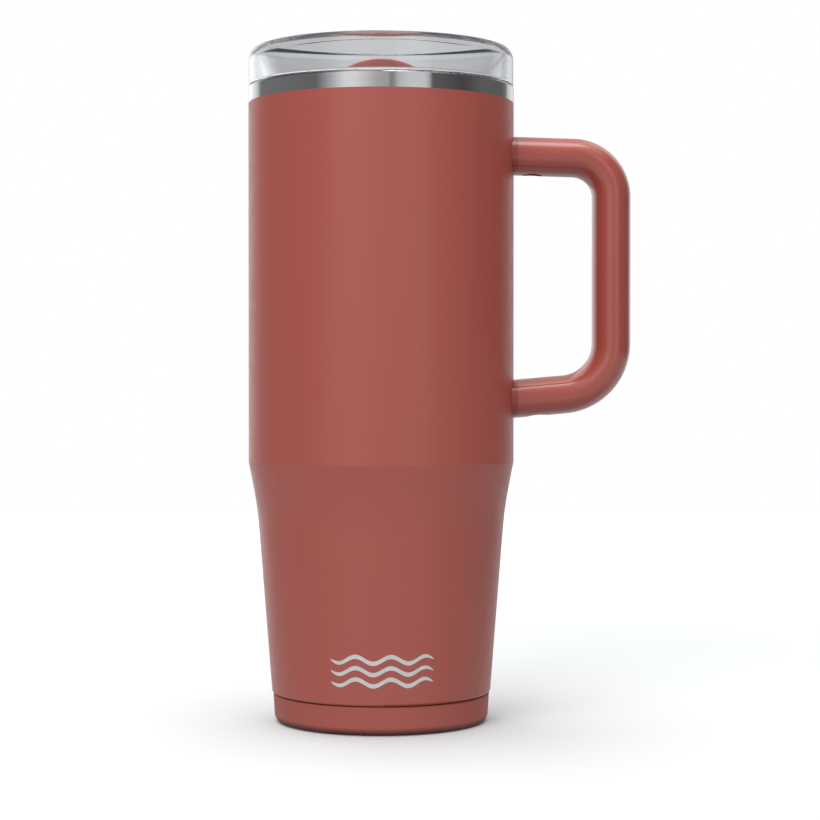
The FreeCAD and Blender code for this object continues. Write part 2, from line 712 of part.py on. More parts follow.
def handle_bar(name, inset):
    """The oval section swept along the centre line, and cut off at the two joint faces."""
    body = new_body(f"{name}_bar")
    path = centre_line(body, f"{name}_path")
    section = oval(body, f"{name}_section", inset)
    bind(section, "AttachmentOffset.Base.y", "upper_arm_height")
    bind(section, "AttachmentOffset.Base.z", "arm_root")
    section.AttachmentOffset = FreeCAD.Placement(
        FreeCAD.Vector(0, value_of("upper_arm_height"), value_of("arm_root")),
        FreeCAD.Rotation(FreeCAD.Vector(1, 0, 0), value_of("upper_arm_drop")))
    doc.recompute()
    sweep = body.newObject("PartDesign::AdditivePipe", f"{name}_sweep")
    sweep.Profile = section
    sweep.Spine = (path, [f"Edge{i + 1}" for i in range(len(path.Geometry))])
    sweep.Mode = "Standard"
    doc.recompute()
    middle = (value_of("upper_arm_height") + value_of("lower_arm_height")) / 2
    face = FreeCAD.Placement(FreeCAD.Vector(value_of("collar_face"), 0, middle), FreeCAD.Rotation())
    room = block(f"{name}_room", "grip_reach", "2 * grip_depth", "2 * body_radius + grip_depth", face)
    return join("Common", f"{name}_trimmed", body, room)


def bracket(arm):
    """The painted steel bracket: a collar with the arm's outline, and a tongue for the handle."""
    collar = new_body(f"{arm.name}_collar")
    inside = "(arm_root - body_radius + dimple_radius)"
    section = oval(collar, f"{arm.name}_collar_section", "0")
    bind(section, "AttachmentOffset.Base.z", f"0 - {inside}")
    doc.recompute()
    pad(collar, section, f"{inside} + 2 * (collar_face - arm_root + collar_round)")
    collar.Placement = arm.place
    height = arm.place.Base.z
    face = FreeCAD.Placement(FreeCAD.Vector(0, 0, height), FreeCAD.Rotation())
    room = block(f"{arm.name}_collar_room", "collar_face", "2 * grip_depth", "2 * grip_depth", face)
    trimmed = join("Common", f"{arm.name}_collar_trimmed", collar, room)
    tongue = block(f"{arm.name}_tongue", "tongue_reach", "tongue_width", "tongue_thickness",
                   arm.at("0"))
    whole = join("Fuse", f"{arm.name}_bracket_solid", trimmed, tongue)
    wall = cylinder(f"{arm.name}_wall", "body_radius", "paint_top")
    seated = join("Cut", f"{arm.name}_bracket_seated", whole, wall)
    hole = cylinder(f"{arm.name}_thread", "screw_radius + screw_gap", "grip_thickness",
                    arm.at(arm.screw_along, "0 - grip_thickness / 2"))
    node(join("Cut", f"{arm.name}_bracket", seated, hole), f"{arm.name}_bracket")


def counterbore(arm, part):
    """The way in for the screw's head, from below."""
    return cylinder(f"{arm.name}_{part}_counterbore", "screw_hole_radius",
                    "grip_thickness - screw_seat",
                    arm.at(arm.screw_along, "0 - grip_thickness"))


def handle():
    """The stiff core with its sockets, and the soft skin moulded over it."""
    core = handle_bar("core", "skin")
    outside = handle_bar("grip", "0")
    skin = join("Cut", "skin_whole", outside, core)
    for arm in (UPPER, LOWER):
        socket = block(f"{arm.name}_socket", "tongue_reach + tongue_gap",
                       "tongue_width + 2 * tongue_gap", "tongue_thickness + 2 * tongue_gap",
                       arm.at("0"))
        core = join("Cut", f"{arm.name}_core_socketed", core, socket)
        shank = cylinder(f"{arm.name}_shank_way", "screw_radius + screw_gap",
                         "grip_thickness / 2 + screw_tip + screw_gap",
                         arm.at(arm.screw_along, "0 - grip_thickness / 2"))
        core = join("Cut", f"{arm.name}_core_drilled", core, shank)
        core = join("Cut", f"{arm.name}_core_bored", core, counterbore(arm, "core"))
        skin = join("Cut", f"{arm.name}_skin_bored", skin, counterbore(arm, "skin"))
    node(core, "handle_core")
    node(skin, "handle_grip")


def hexagon(body, name, lift):
    corners = [(f"socket_width / sqrt(3) * cos({60 * k})", f"socket_width / sqrt(3) * sin({60 * k})")
               for k in range(6)]
    return outline(body, name, "XY_Plane", corners, lift)


def handle_screw(arm):
    """A socket screw from below, through the handle into the bracket's tongue."""
    head = "0 - screw_seat - screw_head_height"
    corners = [
        ("0", head),
        ("screw_head_radius", head, "screw_head_round"),
        ("screw_head_radius", "0 - screw_seat"),
        ("screw_radius", "0 - screw_seat"),
        ("screw_radius", "screw_tip - screw_tip_chamfer"),
        ("screw_radius - screw_tip_chamfer", "screw_tip"),
        ("0", "screw_tip"),
    ]
    body = turned_body(f"{arm.name}_screw", corners)
    pocket(body, hexagon(body, f"{arm.name}_socket_outline", head), "socket_depth", upwards=True)
    body.Placement = arm.at(arm.screw_along)
    node(body, f"{arm.name}_handle_screw")


# ---------------------------------------------------------------- the lid

def lid_body():
    """The clear lid: rim, deck, hub boss and the plug with its gasket groove."""
    crest = "lid_top + rim_round * (tan((90 + rim_slope) / 2) - 1)"
    eave = f"{crest} - (lid_radius - recess_radius) * tan(rim_slope)"
    corners = [
        ("bore_radius", "boss_bottom"),
        ("boss_radius", "boss_bottom"),
        ("boss_radius", "deck_bottom"),
        ("skirt_inner", "deck_bottom", "deck_round"),
        ("skirt_inner", "skirt_bottom"),
        ("skirt_outer - skirt_chamfer", "skirt_bottom"),
        ("skirt_outer", "skirt_bottom + skirt_chamfer"),
        ("skirt_outer", "gasket_bottom"),
        ("gasket_seat", "gasket_bottom"),
        ("gasket_seat", "gasket_top"),
        ("skirt_outer", "gasket_top"),
        ("skirt_outer", "lid_seat - root_chamfer"),
        ("skirt_outer + root_chamfer", "lid_seat"),
        ("lid_radius", "lid_seat", "lid_edge_round"),
        ("lid_radius", eave, "rim_corner"),
        ("recess_radius", crest, "rim_round"),
        ("foot_of_wall", "ledge_top", "ledge_round"),
        ("well_radius", "ledge_top", "well_round"),
        ("well_foot", "deck_top", "well_round"),
        ("bore_radius", "deck_top"),
    ]
    body = turned_body("lid", corners)
    through = "2 * (deck_top - deck_bottom)"
    pocket(body, ring_sector(body, "sip_outline", "deck_top", "sip_inner", "sip_outer",
                             "sip_angle", "sip_half_angle"), through)
    pocket(body, disc(body, "straw_outline", "deck_top", "straw_radius", "straw_offset",
                      "straw_angle"), through)
    pocket(body, disc(body, "vent_outline", "deck_top", "vent_radius", "vent_offset",
                      "vent_angle"), through)
    node(body, "lid_body")


def lid_gasket():
    """The silicone gasket in the plug's groove, with two lips."""
    low = "(gasket_bottom + gasket_gap)"
    high = "(gasket_top - gasket_gap)"
    corners = [
        ("gasket_seat + gasket_gap", low),
        ("gasket_waist", low),
        ("gasket_reach", f"{low} + gasket_lip_share * ({high} - {low})", "gasket_lip_round"),
        ("gasket_waist", f"({low} + {high}) / 2"),
        ("gasket_reach", f"{high} - gasket_lip_share * ({high} - {low})", "gasket_lip_round"),
        ("gasket_waist", high),
        ("gasket_seat + gasket_gap", high),
    ]
    node(turned_body("gasket", corners), "lid_gasket")


# ---------------------------------------------------------------- the dial

def selector_dial():
    """The turning dial: a shallow cone with a slot for the tab and one window, and the hub."""
    corners = [
        ("0", "dial_screw_tip"),
        ("dial_screw_radius", "dial_screw_tip"),
        ("dial_screw_radius", "hub_bottom"),
        ("hub_radius", "hub_bottom"),
        ("hub_radius", "ring_height - groove_half"),
        ("hub_radius - 2 * ring_section", "ring_height - groove_half"),
        ("hub_radius - 2 * ring_section", "ring_height + groove_half"),
        ("hub_radius", "ring_height + groove_half"),
        ("hub_radius", "dial_bottom"),
        ("seal_inner - gasket_gap", "dial_bottom"),
        ("seal_inner - gasket_gap", "seal_top"),
        ("seal_outer + gasket_gap", "seal_top"),
        ("seal_outer + gasket_gap", "dial_bottom"),
        ("dial_radius", "dial_bottom"),
        ("dial_radius", "dial_edge", "dial_round"),
        ("0", "dial_crown"),
    ]
    body = turned_body("dial", corners)
    end = "(tab_reach + tab_gap)"
    slot = [
        (f"0 - {end}", "tab_root - tab_gap"),
        (end, "tab_root - tab_gap"),
        (end, "dial_crown + tab_gap"),
        (f"0 - {end}", "dial_crown + tab_gap"),
    ]
    pocket(body, outline(body, "slot_outline", "XZ_Plane", slot), "tab_thickness + 2 * tab_gap",
           symmetric=True)
    window = ring_sector(body, "window_outline", "dial_crown", "window_inner", "window_outer",
                         "window_angle", "window_half_angle")
    pocket(body, window, "dial_crown - seal_bottom")
    vent = disc(body, "dial_vent_outline", "dial_crown", "vent_radius", "vent_offset",
                "vent_angle - sip_angle + window_angle")
    pocket(body, vent, "dial_crown - seal_bottom")
    node(body, "selector_dial")


def dial_tab():
    """The arched grip that stands in the dial's slot."""
    apex = "tab_top + tab_crown * (1 / cos(tab_slope) - 1)"
    foot = f"({apex} - tab_foot) / tan(tab_slope)"
    arch = [
        ("0 - tab_reach", "tab_root"),
        ("tab_reach", "tab_root"),
        ("tab_reach", "tab_foot"),
        (foot, "tab_foot", "tab_foot_round"),
        ("0", apex, "tab_crown"),
        (f"0 - ({foot})", "tab_foot", "tab_foot_round"),
        ("0 - tab_reach", "tab_foot"),
    ]
    body = new_body("tab")
    pad(body, outline(body, "tab_outline", "XZ_Plane", arch), "tab_thickness", symmetric=True)
    foot_level = value_of("tab_foot") - TINY
    fillet(body, "tab_round", lambda edge: edge.BoundBox.ZMin > foot_level
           and edge.BoundBox.YLength < TINY)
    node(body, "dial_tab")


def dial_seal():
    """The silicone pad under the dial, which wipes the deck and shuts its openings."""
    corners = [
        ("seal_inner", "seal_bottom"),
        ("seal_outer", "seal_bottom"),
        ("seal_outer", "seal_top"),
        ("seal_inner", "seal_top"),
    ]
    body = turned_body("pad", corners)
    window = ring_sector(body, "pad_window_outline", "seal_top", "window_inner", "window_outer",
                         "window_angle", "window_half_angle")
    pocket(body, window, "seal_top - seal_bottom")
    vent = disc(body, "pad_vent_outline", "seal_top", "vent_radius", "vent_offset",
                "vent_angle - sip_angle + window_angle")
    pocket(body, vent, "seal_top - seal_bottom")
    node(body, "dial_seal")


def hub_ring():
    """The ring seal in the hub's groove."""
    ring = doc.addObject("Part::Torus", "ring")
    bind(ring, "Radius1", "hub_radius - ring_section")
    bind(ring, "Radius2", "ring_section - ring_gap")
    ring.Placement = FreeCAD.Placement(FreeCAD.Vector(0, 0, value_of("ring_height")),
                                       FreeCAD.Rotation())
    node(ring, "hub_o_ring")


def spring_washer():
    """A dished spring that pulls the dial down onto the deck."""
    top = "boss_bottom - washer_gap"
    corners = [
        ("washer_inner", "hub_bottom"),
        ("washer_outer", f"{top} - washer_thickness"),
        ("washer_outer", top),
        ("washer_inner", "hub_bottom + washer_thickness"),
    ]
    node(turned_body("spring", corners), "spring_washer")


def dial_retainer():
    """The disc under the hub that carries the spring washer."""
    corners = [
        ("dial_screw_radius", "hub_bottom - retainer_thickness"),
        ("retainer_radius", "hub_bottom - retainer_thickness", "retainer_round"),
        ("retainer_radius", "hub_bottom"),
        ("dial_screw_radius", "hub_bottom"),
    ]
    node(turned_body("retainer", corners), "dial_retainer")


def dial_screw():
    """The screw that holds the retainer to the hub."""
    seat = "hub_bottom - retainer_thickness"
    head = f"({seat} - dial_screw_head_height)"
    corners = [
        ("0", head),
        ("dial_screw_head", head, "dial_screw_round"),
        ("dial_screw_head", seat),
        ("dial_screw_radius", seat),
        ("dial_screw_radius", "dial_screw_tip"),
        ("0", "dial_screw_tip"),
    ]
    body = turned_body("hub_screw", corners)
    pocket(body, hexagon(body, "hub_screw_socket", head), "dial_socket_depth", upwards=True)
    node(body, "dial_screw")


# ---------------------------------------------------------------- build, check, write

def build():
    outer_shell()
    inner_liner()
    liner_bottom()
    outer_bottom()
    vacuum_seal()
    getter()
    base_boot()
    for arm in (UPPER, LOWER):
        bracket(arm)
        handle_screw(arm)
    handle()
    lid_body()
    lid_gasket()
    selector_dial()
    dial_tab()
    dial_seal()
    hub_ring()
    spring_washer()
    dial_retainer()
    dial_screw()
    doc.recompute()


def check():
    for thing in doc.Objects:
        if "Invalid" in thing.State or "Error" in thing.State:
            raise RuntimeError(f"{thing.Label} failed: {thing.State}")
    for thing in nodes:
        if thing.Shape.isNull() or not thing.Shape.isValid():
            raise RuntimeError(f"{thing.Label} has no valid shape")
        if len(thing.Shape.Solids) != 1:
            raise RuntimeError(f"{thing.Label} has {len(thing.Shape.Solids)} solids")


def write():
    for thing in nodes:
        thing.Shape.exportStep(f"{NODES_FOLDER}/{thing.Label}.step")
        box = thing.Shape.BoundBox
        print(f"{thing.Label:20s} {thing.Shape.Volume / 1000:8.2f} cm3"
              f"  x {box.XMin:7.2f} {box.XMax:7.2f}  y {box.YMin:7.2f} {box.YMax:7.2f}"
              f"  z {box.ZMin:7.2f} {box.ZMax:7.2f}")


build()
check()
write()
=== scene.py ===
import math

import bmesh
import bpy
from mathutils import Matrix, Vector


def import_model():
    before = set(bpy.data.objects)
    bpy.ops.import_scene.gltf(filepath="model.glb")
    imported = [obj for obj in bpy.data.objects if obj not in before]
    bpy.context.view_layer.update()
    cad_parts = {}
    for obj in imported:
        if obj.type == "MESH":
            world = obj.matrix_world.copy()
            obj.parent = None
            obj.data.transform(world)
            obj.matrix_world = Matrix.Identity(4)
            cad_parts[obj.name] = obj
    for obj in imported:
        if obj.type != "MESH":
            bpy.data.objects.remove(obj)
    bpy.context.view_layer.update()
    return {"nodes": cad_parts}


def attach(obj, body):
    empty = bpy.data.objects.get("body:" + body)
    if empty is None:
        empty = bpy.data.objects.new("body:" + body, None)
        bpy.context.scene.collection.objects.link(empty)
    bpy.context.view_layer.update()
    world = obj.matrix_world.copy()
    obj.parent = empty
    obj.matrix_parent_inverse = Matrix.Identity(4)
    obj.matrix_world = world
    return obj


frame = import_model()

MM = 0.001

# The mug stands on the floor at the origin, +Z up, its handle towards +X.

# ---------------------------------------------------------------- colours and places

TERRACOTTA = (0.39, 0.078, 0.058)
TERRACOTTA_DEEP = (0.3, 0.057, 0.042)
TERRACOTTA_HANDLE = (0.37, 0.077, 0.057)
TERRACOTTA_DIAL = (0.42, 0.083, 0.063)
TERRACOTTA_SILICONE = (0.385, 0.093, 0.073)
DARK_NYLON = (0.08, 0.03, 0.025)
STEEL = (0.62, 0.62, 0.635)
STEEL_DULL = (0.5, 0.5, 0.51)
STEEL_SCREW = (0.45, 0.45, 0.46)
SOLDER = (0.55, 0.55, 0.53)
PELLET_GREY = (0.12, 0.12, 0.13)
RETAINER_GREY = (0.55, 0.56, 0.57)
MILKY = (0.78, 0.79, 0.80)
CLEAR = (0.935, 0.948, 0.972)
CLEARER = (0.945, 0.958, 0.98)
INK = (0.63, 0.63, 0.63)
FLOOR_NEAR_SHADE = (0.69, 0.711, 0.717)
FLOOR_FAR = (0.97, 0.97, 0.97)

# The liner's lip starts to turn inwards at this height, and its inside is within this radius.
LIP_START = 214.0 * MM
LIP_FADE = 0.3 * MM
LINER_INSIDE = 41.7 * MM

# The boot's lower edge carries painted shade up to this height.
SHADED_EDGE_HEIGHT = 2.7 * MM


def dimmed(colour, share):
    """A share of a colour's brightness."""
    return tuple(share * channel for channel in colour)


# ---------------------------------------------------------------- node helpers

class Tree:
    """A node tree, with short calls for the nodes used below."""

    def __init__(self, tree):
        self.tree = tree

    def add(self, kind, **values):
        node = self.tree.nodes.new(kind)
        for key, value in values.items():
            if hasattr(node, key):
                setattr(node, key, value)
            else:
                node.inputs[key.replace("_", " ")].default_value = value
        return node

    def link(self, source, target):
        self.tree.links.new(source, target)

    def feed(self, socket, value):
        """A number or colour, or another node's output, into a socket."""
        if isinstance(value, bpy.types.NodeSocket):
            self.link(value, socket)
        elif isinstance(value, tuple):
            socket.default_value = (*value, 1.0)
        else:
            socket.default_value = value

    def math(self, operation, first, second=None):
        node = self.add("ShaderNodeMath", operation=operation)
        self.feed(node.inputs[0], first)
        if second is not None:
            self.feed(node.inputs[1], second)
        return node.outputs["Value"]

    def between(self, value, low, high):
        """0 up to the low value, 1 from the high value on."""
        node = self.add("ShaderNodeMapRange", From_Min=low, From_Max=high)
        self.link(value, node.inputs["Value"])
        return node.outputs["Result"]

    def mix_colours(self, factor, first, second):
        node = self.add("ShaderNodeMix", data_type="RGBA")
        self.link(factor, node.inputs[0])
        self.feed(node.inputs[6], first)
        self.feed(node.inputs[7], second)
        return node.outputs[2]

    def mix_numbers(self, factor, first, second):
        node = self.add("ShaderNodeMix", data_type="FLOAT")
        self.link(factor, node.inputs[0])
        self.feed(node.inputs[2], first)
        self.feed(node.inputs[3], second)
        return node.outputs[0]


class Finish(Tree):
    """A material round one Principled shader."""

    def __init__(self, name):
        self.material = bpy.data.materials.new(name)
        self.material.use_nodes = True
        super().__init__(self.material.node_tree)
        self.shader = self.tree.nodes["Principled BSDF"]

    def plug(self, name, value):
        self.feed(self.shader.inputs[name], value)

    def plugged(self, name):
        """The output that feeds one of the shader's sockets."""
        return self.shader.inputs[name].links[0].from_socket

    def place(self, scale=(1, 1, 1)):
        """Object coordinates, stretched."""
        where = self.add("ShaderNodeTexCoord")
        stretch = self.add("ShaderNodeMapping")
        stretch.inputs["Scale"].default_value = scale
        self.link(where.outputs["Object"], stretch.inputs["Vector"])
        return stretch.outputs["Vector"]

    def height(self):
        split = self.add("ShaderNodeSeparateXYZ")
        self.link(self.place(), split.inputs["Vector"])
        return split.outputs["Z"]

    def distance(self, scale=(1, 1, 1)):
        """Distance from the origin, or from the axis when the scale flattens Z."""
        node = self.add("ShaderNodeVectorMath", operation="LENGTH")
        self.link(self.place(scale), node.inputs[0])
        return node.outputs["Value"]

    def noise(self, scale, detail=3.0, stretch=(1, 1, 1)):
        texture = self.add("ShaderNodeTexNoise", Scale=scale, Detail=detail)
        self.link(self.place(stretch), texture.inputs["Vector"])
        return texture.outputs["Fac"]

    def ramp(self, value, low, high, at_low=0.35, at_high=0.65):
        """Maps a grey value to two greys or two colours."""
        table = self.add("ShaderNodeValToRGB")
        elements = table.color_ramp.elements
        for element, position, colour in zip(elements, (at_low, at_high), (low, high)):
            element.position = position
            element.color = (*colour, 1.0) if isinstance(colour, tuple) else (colour,) * 3 + (1.0,)
        self.link(value, table.inputs["Fac"])
        return table.outputs["Color"]

    def bump(self, height, distance, strength=1.0, under=None):
        node = self.add("ShaderNodeBump", Distance=distance, Strength=strength)
        self.link(height, node.inputs["Height"])
        if under:
            self.link(under, node.inputs["Normal"])
        return node.outputs["Normal"]


# ---------------------------------------------------------------- finishes

def powder_coat(name, colour, deep, roughness, grain=0.00002):
    """Fine satin powder coat: a soft orange peel with a fine grain over it."""
    nodes = Finish(name)
    shade = tuple(0.97 * a + 0.03 * b for a, b in zip(colour, deep))
    nodes.plug("Base Color", nodes.ramp(nodes.noise(14.0, 3.0), shade, colour))
    rough = nodes.noise(180.0, 2.0)
    nodes.plug("Roughness", nodes.ramp(rough, roughness - 0.02, roughness + 0.025))
    peel = nodes.bump(nodes.noise(420.0, 2.0), 0.00003, 0.35)
    nodes.plug("Normal", nodes.bump(nodes.noise(2600.0, 2.0), grain, 0.5, under=peel))
    return nodes


def steel(name, colour, roughness, lines, line_depth=0.000003):
    """Stainless steel with fine turning lines round the axis."""
    nodes = Finish(name)
    nodes.plug("Metallic", 1.0)
    streaks = nodes.noise(lines, 2.0, stretch=(0.02, 0.02, 1.0))
    nodes.plug("Base Color", nodes.ramp(streaks, dimmed(colour, 0.95), colour))
    nodes.plug("Roughness", nodes.ramp(streaks, roughness * 0.85, roughness * 1.15))
    nodes.plug("Normal", nodes.bump(streaks, line_depth, 0.5))
    return nodes


def liner_steel(name):
    """The liner's steel: polished where it shows as a band, darkened by painted shade over the lip,
    brushed inside.
    """
    nodes = steel(name, STEEL, roughness=0.07, lines=3000.0)
    # Painted shade: the steel's colour darkens over the lip's rounding, to dim its reflection.
    over_lip = nodes.math("DIVIDE", nodes.math("SUBTRACT", nodes.height(), LIP_START), LIP_FADE)
    lip_shade = dimmed(STEEL, 0.35)
    nodes.plug("Base Color", nodes.mix_colours(over_lip, nodes.plugged("Base Color"), lip_shade))
    inside = nodes.math("LESS_THAN", nodes.distance((1, 1, 0)), LINER_INSIDE)
    brushing = nodes.math("MULTIPLY", inside, 0.4)
    nodes.plug("Roughness", nodes.math("ADD", nodes.plugged("Roughness"), brushing))
    return nodes


def moulded(name, colour, roughness, peel=0.00002, spread=0.04):
    """Moulded plastic or silicone with a faint surface texture."""
    nodes = Finish(name)
    nodes.plug("Base Color", nodes.ramp(nodes.noise(22.0, 3.0), dimmed(colour, 0.96), colour))
    rough = nodes.noise(260.0, 3.0)
    nodes.plug("Roughness", nodes.ramp(rough, roughness - spread, roughness + spread))
    nodes.plug("Normal", nodes.bump(nodes.noise(900.0, 2.0), peel, 0.4))
    return nodes


def boot_rubber(name):
    """The boot's silicone, with painted shade darkening its lower edge where it meets the floor,
    and rougher there.
    """
    nodes = moulded(name, TERRACOTTA_SILICONE, roughness=0.62, peel=0.00004)
    # Painted shade: the colour darkens towards the bottom edge, standing in for the shadow where
    # the boot meets the floor.
    edge_shade = nodes.ramp(nodes.math("DIVIDE", nodes.height(), SHADED_EDGE_HEIGHT), 1.0, 0.0, 0.1, 1.0)
    shaded_silicone = dimmed(TERRACOTTA_SILICONE, 0.03)
    nodes.plug("Base Color", nodes.mix_colours(edge_shade, nodes.plugged("Base Color"), shaded_silicone))
    dulling = nodes.math("MULTIPLY", edge_shade, 0.3)
    nodes.plug("Roughness", nodes.math("ADD", nodes.plugged("Roughness"), dulling))
    return nodes


def clear_plastic(name):
    """Clear polished plastic, faintly grey, with faint moulding ripples."""
    nodes = Finish(name)
    nodes.plug("Base Color", nodes.ramp(nodes.noise(30.0, 2.0), CLEAR, CLEARER))
    nodes.plug("Roughness", nodes.ramp(nodes.noise(60.0, 2.0), 0.0, 0.006))
    nodes.plug("IOR", 1.54)
    nodes.plug("Transmission Weight", 1.0)
    nodes.plug("Normal", nodes.bump(nodes.noise(40.0, 1.0), 0.000003, 0.15))
    return nodes


def milky_silicone(name):
    """Translucent white silicone, for the seals."""
    nodes = moulded(name, MILKY, roughness=0.4)
    nodes.plug("Transmission Weight", 0.55)
    nodes.plug("IOR", 1.41)
    return nodes


# ---------------------------------------------------------------- materials by CAD node

body_paint = powder_coat("body_paint", TERRACOTTA, TERRACOTTA_DEEP, roughness=0.4)
body_paint.plug("Specular IOR Level", 0.75)
bracket_paint = powder_coat("bracket_paint", TERRACOTTA_DEEP, TERRACOTTA_DEEP, roughness=0.14,
                            grain=0.000005)
band_steel = liner_steel("band_steel")
plain_steel = steel("plain_steel", STEEL_DULL, roughness=0.32, lines=1800.0)
screw_steel = steel("screw_steel", STEEL_SCREW, roughness=0.25, lines=2500.0)
solder = moulded("solder", SOLDER, roughness=0.42)
solder.plug("Metallic", 1.0)
getter = moulded("getter", PELLET_GREY, roughness=0.85, peel=0.0001)
boot = boot_rubber("boot_silicone")
handle_skin = moulded("handle_skin", TERRACOTTA_HANDLE, roughness=0.17, peel=0.000005, spread=0.012)
handle_skin.plug("Specular IOR Level", 0.75)
core_plastic = moulded("core_plastic", DARK_NYLON, roughness=0.55)
dial_plastic = moulded("dial_plastic", TERRACOTTA_DIAL, roughness=0.34)
dial_clear = clear_plastic("dial_clear")
retainer_plastic = moulded("retainer_plastic", RETAINER_GREY, roughness=0.4)
lid_clear = clear_plastic("lid_clear")
clear_silicone = milky_silicone("clear_silicone")

FINISHES = {
    "outer_shell": body_paint,
    "inner_liner": band_steel,
    "liner_bottom": plain_steel,
    "outer_bottom": plain_steel,
    "vacuum_seal": solder,
    "getter_pellet": getter,
    "getter_strap": plain_steel,
    "base_boot": boot,
    "upper_bracket": bracket_paint,
    "lower_bracket": bracket_paint,
    "handle_core": core_plastic,
    "handle_grip": handle_skin,
    "upper_handle_screw": screw_steel,
    "lower_handle_screw": screw_steel,
    "lid_body": lid_clear,
    "lid_gasket": clear_silicone,
    "selector_dial": dial_clear,
    "dial_tab": dial_plastic,
    "dial_seal": clear_silicone,
    "hub_o_ring": clear_silicone,
    "spring_washer": screw_steel,
    "dial_retainer": retainer_plastic,
    "dial_screw": screw_steel,
}

for name, finish in FINISHES.items():
    mesh = frame["nodes"][name].data
    if not mesh.materials:
        mesh.materials.append(None)
    for index in range(len(mesh.materials)):
        mesh.materials[index] = finish.material


# ---------------------------------------------------------------- the emblem on the front

EMBLEM_ACROSS = 0.8 * MM
EMBLEM_HEIGHT = 21.4 * MM
EMBLEM_HALF_WIDTH = 17.2 * MM
WAVE_SPACING = 3.7 * MM
WAVE_LENGTH = 11.5 * MM
WAVE_RISE = 1.1 * MM
WAVE_HALF_BREADTH = 0.72 * MM
INK_THICKNESS = 0.07 * MM
STEPS = 120

# The painted side near the foot: its radius at one height, and its taper in degrees.
FOOT_RADIUS = 37.2 * MM
FOOT_HEIGHT = 11.0 * MM
FOOT_TAPER = 4.48


def side_radius(height):
    """Radius of the painted side near the foot."""
    return FOOT_RADIUS + (height - FOOT_HEIGHT) * math.tan(math.radians(FOOT_TAPER))


def ink():
    """Pale grey printed ink, a little uneven."""
    nodes = Finish("emblem_ink")
    nodes.plug("Base Color", nodes.ramp(nodes.noise(300.0, 3.0), dimmed(INK, 0.93), INK))
    nodes.plug("Roughness", nodes.ramp(nodes.noise(900.0, 2.0), 0.4, 0.5))
    nodes.plug("Normal", nodes.bump(nodes.noise(2600.0, 2.0), 0.00001, 0.5))
    return nodes.material


def emblem():
    """Three stacked wave stripes, printed on the painted side."""
    form = bmesh.new()
    for row in (-1, 0, 1):
        rings = []
        for step in range(STEPS + 1):
            share = 2.0 * step / STEPS - 1.0
            across = share * EMBLEM_HALF_WIDTH
            turn = (EMBLEM_ACROSS + across) / side_radius(EMBLEM_HEIGHT)
            middle = EMBLEM_HEIGHT + row * WAVE_SPACING
            middle += WAVE_RISE * math.sin(2.0 * math.pi * across / WAVE_LENGTH)
            half = WAVE_HALF_BREADTH * math.sqrt(max(1.0 - share ** 6, 0.02))
            ring = []
            for height, out in ((middle - half, 0.0), (middle + half, 0.0),
                                (middle + half, INK_THICKNESS), (middle - half, INK_THICKNESS)):
                radius = side_radius(height) + out
                spot = (radius * math.sin(turn), -radius * math.cos(turn), height)
                ring.append(form.verts.new(spot))
            rings.append(ring)
        for first, second in zip(rings, rings[1:]):
            for side in range(4):
                after = (side + 1) % 4
                form.faces.new((first[side], first[after], second[after], second[side]))
        form.faces.new(rings[0])
        form.faces.new(reversed(rings[-1]))
    bmesh.ops.recalc_face_normals(form, faces=form.faces)
    mesh = bpy.data.meshes.new("front_emblem")
    form.to_mesh(mesh)
    form.free()
    mesh.materials.append(ink())
    piece = bpy.data.objects.new("front_emblem", mesh)
    bpy.context.scene.collection.objects.link(piece)
    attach(piece, "mug")


emblem()


# ---------------------------------------------------------------- floor

FLOOR_HALF = 1.2

# Painted shade on the floor: its colour turns from the darker near colour to the paler far one
# between these distances.
PALER_FROM = 0.25
PALER_TO = 1.0


def floor():
    """Pale paper that only the camera sees. The studio's light comes up through it."""
    corners = [(FLOOR_HALF * x, FLOOR_HALF * y, 0) for x, y in ((-1, -1), (1, -1), (1, 1), (-1, 1))]
    mesh = bpy.data.meshes.new("floor")
    mesh.from_pydata(corners, [], [(0, 1, 2, 3)])
    piece = bpy.data.objects.new("floor", mesh)
    bpy.context.scene.collection.objects.link(piece)
    nodes = Finish("floor_paper")
    # Painted shade: darker near the mug, paler further out.
    shade = nodes.ramp(nodes.distance(), FLOOR_NEAR_SHADE, FLOOR_FAR, PALER_FROM, PALER_TO)
    nodes.plug("Base Color", shade)
    nodes.plug("Roughness", 0.9)
    nodes.plug("Normal", nodes.bump(nodes.noise(900.0, 2.0), 0.00001, 0.2))
    mesh.materials.append(nodes.material)
    piece.visible_diffuse = False
    piece.visible_glossy = False
    piece.visible_transmission = False


floor()

# ---------------------------------------------------------------- camera

CAMERA_PLACE = (0.0098, -0.715, 0.1153)
CAMERA_DIP = 0.79  # degrees below the horizontal
LENS = 92.2
SENSOR_WIDTH = 36.0

camera_data = bpy.data.cameras.new("camera")
camera_data.lens = LENS
camera_data.sensor_width = SENSOR_WIDTH
camera = bpy.data.objects.new("camera", camera_data)
camera.location = CAMERA_PLACE
camera.rotation_euler = (math.radians(90.0 - CAMERA_DIP), 0.0, 0.0)
bpy.context.scene.collection.objects.link(camera)
bpy.context.scene.camera = camera

# ---------------------------------------------------------------- light

bpy.context.scene.view_settings.view_transform = "Standard"

# The studio's walls: direction in degrees from -Y towards +X, and brightness.
SIDES = [
    (-180, 0.6), (-175, 0.5), (-171, 0.5), (-165, 1.5), (-155, 1.5), (-145, 1.2), (-134, 0.85),
    (-126, 0.24), (-56, 0.19), (-48, 0.4), (-40, 0.68), (-30, 1.05), (-22, 1.05), (-15, 0.88),
    (-2, 0.56), (7, 0.52), (9, 0.28), (11, 0.36), (16, 0.72), (25, 0.87), (38, 0.85), (42, 0.62),
    (45, 0.15), (75, 0.09), (97, 0.16), (128, 0.15), (137, 0.24), (145, 0.85), (157, 1.0),
    (165, 0.8), (171, 0.5),
]

